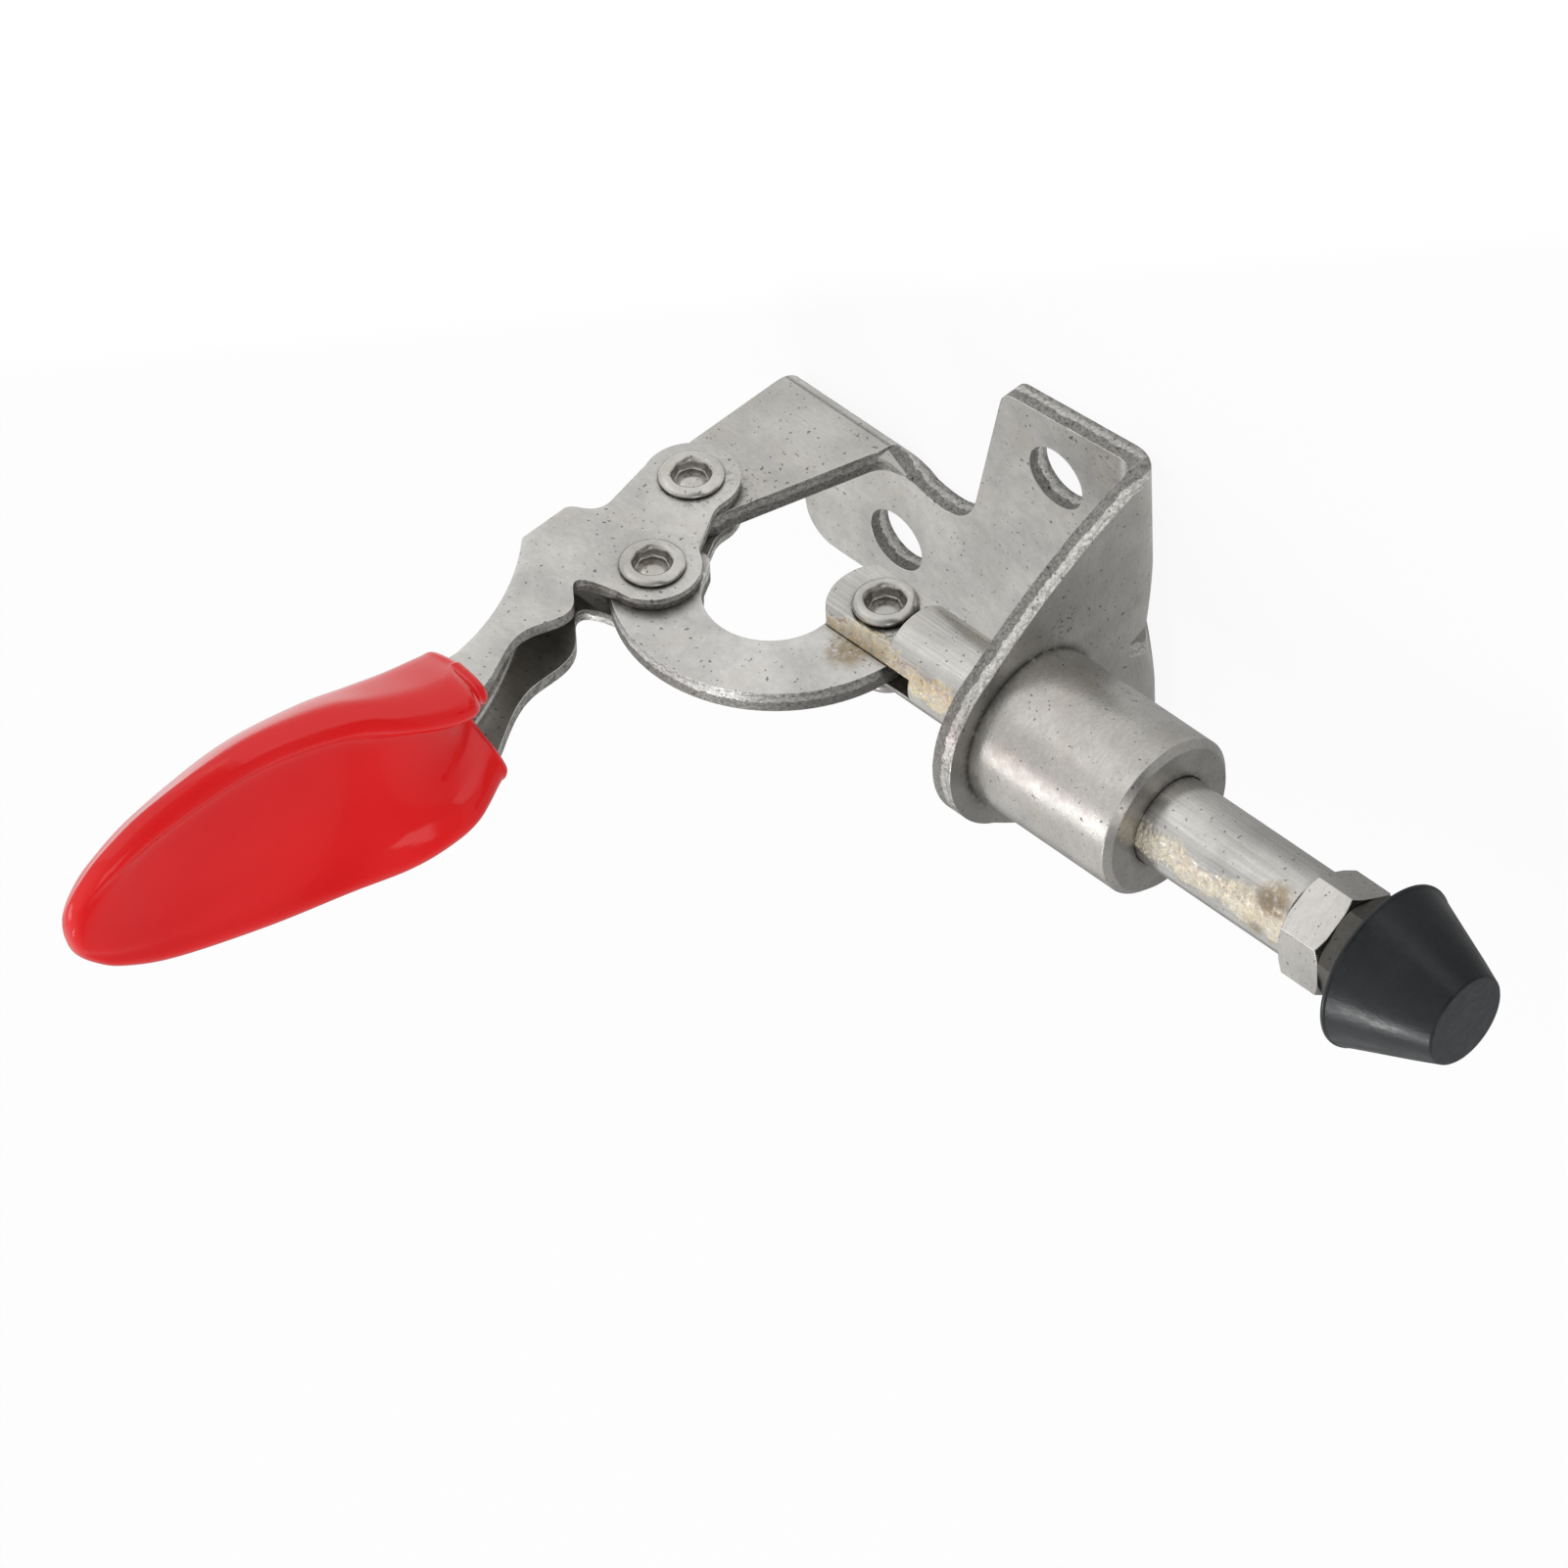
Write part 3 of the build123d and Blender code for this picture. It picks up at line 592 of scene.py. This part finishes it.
def gilded_steel(name, tone, roughness, oil, stained):
    """The plunger's steel, with gold-flecked scale in a band along its upper side, painted
    brighter there as a highlight.
    """
    m = steel(name, tone, roughness, 1.5, (0.12, 4.0, 4.0), sparkle=0.25, mottle=0.12,
              oil=oil, stained=stained, streaks=0.10)
    place = m.place()
    where = m.split(place)
    from_top = m.math("ARCTAN2", where["Y"], m.math("SUBTRACT", where["Z"], axis_z))
    wander = m.ramp(m.noise(place, 0.5, 3.0, 0.7), 0.25, 0.75, -0.22, 0.22)
    scale_and_highlight_band = m.inside(m.total(from_top, wander), -0.02, 0.60, 0.10)
    scale = m.noise(place, 1.9, 5.0, 0.85, 1.2)
    fading = m.ramp(where["X"], 6.0, 22.0, 1.0, 0.45)
    gold = m.product(scale_and_highlight_band, m.ramp(scale, 0.46, 0.52), fading)
    flakes = m.product(scale_and_highlight_band, m.ramp(m.noise(place, 2.7, 4.0, 0.8), 0.60, 0.66))
    # Painted highlight: the band along the upper side is brightened; the gold scale and flakes on
    # it are real.
    colour = m.mix(m.product(scale_and_highlight_band, 0.55), m.linked("Base Color"), tinted(tone, *HIGHLIGHT_BAND_BRIGHT))
    colour = m.mix(m.product(gold, 0.80), colour, GOLD_TONE)
    colour = m.mix(m.product(flakes, 0.65), colour, BROWN_TONE)
    m.link(colour, "Base Color")
    m.link(m.bump(m.product(scale, scale_and_highlight_band), 0.9, 0.08 * MM, m.linked("Normal")), "Normal")
    return m


# ---------------------------------------------------------------- vinyl and rubber

VINYL_REDS = ((0.75, 0.006, 0.008), (0.81, 0.009, 0.011))
VINYL_DUST = (0.75, 0.20, 0.20)
RUBBER_SIDE = ((0.0025, 0.0040, 0.0065), (0.006, 0.0085, 0.012))
RUBBER_FACE = ((0.040, 0.042, 0.045), (0.055, 0.058, 0.062))
RUBBER_DUST = (0.16, 0.16, 0.17)


def dusted(m, place, colour, grains, start, amount, tone):
    """The colour with fine dust on it."""
    dust = m.ramp(m.noise(place, grains, 2.0, 0.8), start, 0.78)
    return m.mix(m.product(dust, amount), colour, tone)


def vinyl(name):
    """Glossy dipped vinyl."""
    m = Nodes(name)
    place = m.place()
    red = m.mix(m.ramp(m.noise(place, 0.10, 2.0), 0.3, 0.7), *VINYL_REDS)
    m.link(dusted(m, place, red, 6.0, 0.70, 0.12, VINYL_DUST), "Base Color")
    m.link(m.ramp(m.noise(place, 0.5, 3.0), 0.3, 0.7, 0.08, 0.13), "Roughness")
    m.set("Specular IOR Level", 0.46)
    m.set("Subsurface Weight", 0.06)
    m.set("Subsurface Radius", (1.2 * MM, 0.3 * MM, 0.2 * MM))
    m.link(m.bump(m.noise(place, 0.35, 2.0), 0.20, 0.10 * MM), "Normal")
    return m


def rubber(name):
    """Black rubber: satin on the cone, dull and greyer on the flat face that does the pressing."""
    m = Nodes(name)
    place = m.place()
    face = m.ramp(m.split(place)["X"], tip_high[0] - 0.10, tip_high[0] - 0.02)
    side = m.mix(m.ramp(m.noise(place, 1.2, 4.0, 0.7), 0.35, 0.75), *RUBBER_SIDE)
    end = m.mix(m.ramp(m.noise(place, 2.0, 4.0, 0.7), 0.35, 0.75), *RUBBER_FACE)
    colour = dusted(m, place, m.mix(face, side, end), 4.0, 0.72, 0.25, RUBBER_DUST)
    m.link(colour, "Base Color")
    scuffs = m.noise(m.stretched(place, (0.4, 2.0, 2.0)), 0.8, 4.0)
    rough = m.ramp(scuffs, 0.3, 0.7, 0.24, 0.38)
    m.link(m.total(rough, m.product(face, 0.25)), "Roughness")
    grain = m.noise(m.stretched(place, (0.5, 3.0, 3.0)), 2.0, 3.0)
    m.link(m.bump(grain, 0.30, 0.03 * MM), "Normal")
    return m


# ---------------------------------------------------------------- dressing the frame

def assign(piece, material):
    piece.data.materials.clear()
    piece.data.materials.append(material.material)


# Marks and stains that the photo shows: x, y, z and radius, in millimetres.
ARM_SPECKS = (-18.6, SHEET_HALF, 10.6, 2.6)
PLATE_MARKS = [(1.2, 12.4, SHEET, 1.7), (4.2, 11.0, SHEET, 1.8), (PLATE_FRONT, 6.2, 9.6, 1.7)]
LINK_STAIN = (-3.6, SHEET_HALF, 16.3, 1.9)
BARREL_OIL = (9.3, 3.6, 14.6, 1.4)
ROD_OIL = (rod_pivot[0] + 1.5, 2.0, axis_z + 2.0, 1.6)
ROD_STAINS = [(31.0, 2.0, axis_z + 2.0, 1.7), (30.2, 0.4, axis_z + 3.0, 1.2)]
PIVOT_OIL = [(*(handle_pivot + (0.5, CHEEK_OUT, 0.0)), 3.0),
             (*(link_pivot + (0.0, CHEEK_OUT, 0.0)), 3.0)]

STAINLESS = (0.50, 0.49, 0.465)
LEVER_STEEL = (0.54, 0.53, 0.505)
LINK_STEEL = (0.57, 0.56, 0.54)
TURNED_STEEL = (0.49, 0.475, 0.45)
ROD_STEEL = (0.52, 0.51, 0.485)
RIVET_STEEL = (0.52, 0.505, 0.475)
# The bolt's steel is painted near black: painted shade, as the bolt head sits in shadow between
# nut and rubber.
BOLT_IN_SHADE_STEEL = (0.10, 0.095, 0.085)
EVEN = (1.0, 1.0, 1.0)                  # a grain that runs no way in particular

for name, material in {
    "base_bracket": steel("satin_sheet", STAINLESS, 0.36, 1.2, (1.0, 1.0, 6.0), bracket_rims,
                          oil=[ARM_SPECKS, *PLATE_MARKS]),
    "handle_lever": steel("satin_lever", LEVER_STEEL, 0.38, 1.2, (1.0, 1.0, 2.0), cheek_rims,
                          oil=PIVOT_OIL),
    "drive_link": steel("stamped_link", LINK_STEEL, 0.33, 1.2, EVEN, link_rim,
                        stained=[LINK_STAIN]),
    "guide_barrel": steel("turned_barrel", TURNED_STEEL, 0.30, 1.4, (5.0, 1.0, 1.0),
                          sparkle=3.0, pepper=0.07, oil=[BARREL_OIL]),
    "plunger": gilded_steel("plunger_steel", ROD_STEEL, 0.25, [ROD_OIL], ROD_STAINS),
    "lock_nut": steel("bright_nut", TURNED_STEEL, 0.22, 1.6, (4.0, 1.0, 1.0),
                      sparkle=0.1, pepper=0.02, streaks=0.06),
    # Painted shade: the bolt's near-black tone stands for the shadow it sits in.
    "spindle_bolt": steel("bolt_painted_shade", BOLT_IN_SHADE_STEEL, 0.36, 1.6, EVEN),
}.items():
    assign(nodes[name], material)

grip = vinyl_grip()
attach(grip, "handle")
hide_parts("grip_sleeve")
assign(grip, vinyl("glossy_red_vinyl"))

# The rivet heads get painted corner shade all along, in their dishes and under their rims.
rivet_steel = steel("rivet_heads", RIVET_STEEL, 0.22, 1.6, EVEN,
                    sparkle=0.15, pepper=0.03, corner_shade_level=0.3)
for node, (body, centre, heads) in RIVETS.items():
    for head in rivet(node, body, centre, heads):
        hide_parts(node)
        assign(head, rivet_steel)

cone = rubber_cone()
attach(cone, "plunger")
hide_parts("rubber_tip")
assign(cone, rubber("black_rubber"))


# ---------------------------------------------------------------- studio

WHITE = (1.0, 1.0, 1.0, 1.0)
FLOOR_GAP = 0.02 * MM                   # the floor lies this far below the clamp
FLOOR_GREY = (0.80, 0.80, 0.80, 1.0)
FLOOR_DRIFT = (-0.58, 0.81, 0.0)        # its sheen brightens this way, over these millimetres
FLOOR_FADE = (-25.0, 26.0)
FLOOR_SHEEN = (0.32, 1.05)
FLOOR_GLOW = 0.92                       # how much of it glows, and isn't shaded by the object
STUDIO_SIDE = (-0.80, -0.10, 0.59)      # mirrored, the studio brightens this way
STUDIO_FADE = (-0.55, 0.65)
STUDIO_LEVELS = (0.22, 0.92)


def floor_material():
    """White floor: bright to the camera and in reflections, and still shaded by the object."""
    m = Nodes("white_floor")
    rays = m.add("ShaderNodeLightPath").outputs
    mirrored = m.most(rays["Is Glossy Ray"], rays["Is Transmission Ray"])
    seen = m.most(rays["Is Camera Ray"], mirrored)
    sheen = m.ramp(m.along(m.place(), FLOOR_DRIFT), *FLOOR_FADE, *FLOOR_SHEEN)
    level = m.most(rays["Is Camera Ray"], sheen)
    diffuse = m.add("ShaderNodeBsdfDiffuse", {"Color": FLOOR_GREY})
    glow = m.add("ShaderNodeEmission", {"Color": WHITE, "Strength": level})
    mixed = m.add("ShaderNodeMixShader", {
        0: m.product(seen, FLOOR_GLOW), 1: diffuse.outputs[0], 2: glow.outputs[0]})
    m.tree.links.new(mixed.outputs[0], m.tree.nodes["Material Output"].inputs["Surface"])
    return m.material


def white_floor(half=3.0):
    """A square floor, half of its side given in metres."""
    mesh = bpy.data.meshes.new("floor")
    corners = [(-half, -half, 0), (half, -half, 0), (half, half, 0), (-half, half, 0)]
    mesh.from_pydata(corners, [], [(0, 1, 2, 3)])
    floor = bpy.data.objects.new("floor", mesh)
    floor.location.z = cad_low.z - FLOOR_GAP
    bpy.context.scene.collection.objects.link(floor)
    mesh.materials.append(floor_material())


def world(light):
    """White behind the object, an even light on it, and in reflections a studio.

    The studio darkens towards +X, which gives the steel its dark side.
    """
    scene_world = bpy.data.worlds.new("studio")
    bpy.context.scene.world = scene_world
    scene_world.use_nodes = True
    tree = scene_world.node_tree

    def level(value, low, high, out_low, out_high):
        """The value's place between low and high, put between the two levels."""
        return add_node(tree, "ShaderNodeMapRange", {
            "Value": value, "From Min": low, "From Max": high,
            "To Min": out_low, "To Max": out_high}).outputs["Result"]

    rays = tree.nodes.new("ShaderNodeLightPath").outputs
    mirrored = add_node(tree, "ShaderNodeMath", {
        0: rays["Is Glossy Ray"], 1: rays["Is Transmission Ray"]}, operation="MAXIMUM").outputs[0]
    towards = tree.nodes.new("ShaderNodeTexCoord").outputs["Generated"]
    side = add_node(tree, "ShaderNodeVectorMath", {0: towards, 1: STUDIO_SIDE},
                    operation="DOT_PRODUCT").outputs["Value"]
    studio = level(side, *STUDIO_FADE, *STUDIO_LEVELS)
    lit = level(mirrored, 0.0, 1.0, light, studio)
    shown = level(rays["Is Camera Ray"], 0.0, 1.0, lit, 1.0)
    background = tree.nodes["Background"]
    background.inputs["Color"].default_value = WHITE
    tree.links.new(shown, background.inputs["Strength"])


def lamp(name, towards, distance, size, power):
    """A square soft box that looks at the object from the direction (x, y, z)."""
    away = Vector(towards).normalized()
    light = bpy.data.lights.new(name, "AREA")
    light.shape = "SQUARE"
    light.size = size
    light.energy = power
    box = bpy.data.objects.new(name, light)
    centre = (cad_low + cad_high) / 2
    box.location = centre + away * distance
    box.rotation_euler = (-away).to_track_quat("-Z", "Y").to_euler()
    bpy.context.scene.collection.objects.link(box)


CAMERA_EYE = (380.6, 523.3, 380.3)      # in millimetres
CAMERA_FORWARD = (-0.5149, -0.7102, -0.4801)
CAMERA_LEAN = -2.6                      # degrees
CAMERA_LENS = 278.8                     # millimetres, on a sensor 36 wide


def camera():
    """The clamp is seen lying on its side: the pivots' axis stands almost upright in the view."""
    eye = Vector(CAMERA_EYE) * MM
    forward = Vector(CAMERA_FORWARD).normalized()
    lean = math.radians(CAMERA_LEAN)
    level_right = forward.cross(Vector((0, 1, 0))).normalized()
    level_up = level_right.cross(forward)
    right = level_right * math.cos(lean) + level_up * math.sin(lean)
    up = level_up * math.cos(lean) - level_right * math.sin(lean)
    data = bpy.data.cameras.new("camera")
    data.sensor_width = 36.0
    data.lens = CAMERA_LENS
    data.clip_start = 0.05
    data.clip_end = 20.0
    view = bpy.data.objects.new("camera", data)
    view.matrix_world = Matrix((
        (right.x, up.x, -forward.x, eye.x),
        (right.y, up.y, -forward.y, eye.y),
        (right.z, up.z, -forward.z, eye.z),
        (0, 0, 0, 1)))
    bpy.context.scene.collection.objects.link(view)
    bpy.context.scene.camera = view


white_floor()
world(light=0.76)
lamp("over", (-0.35, 0.95, 0.05), distance=0.70, size=0.90, power=1.0)
lamp("side", (-0.515, -0.13, 0.847), distance=0.55, size=0.20, power=0.25)
lamp("front", (0.85, 0.20, 0.50), distance=0.70, size=0.30, power=0.3)
lamp("glint", (0.09, -0.50, 0.86), distance=0.60, size=0.12, power=0.60)
camera()
bpy.context.scene.view_settings.view_transform = "Standard"
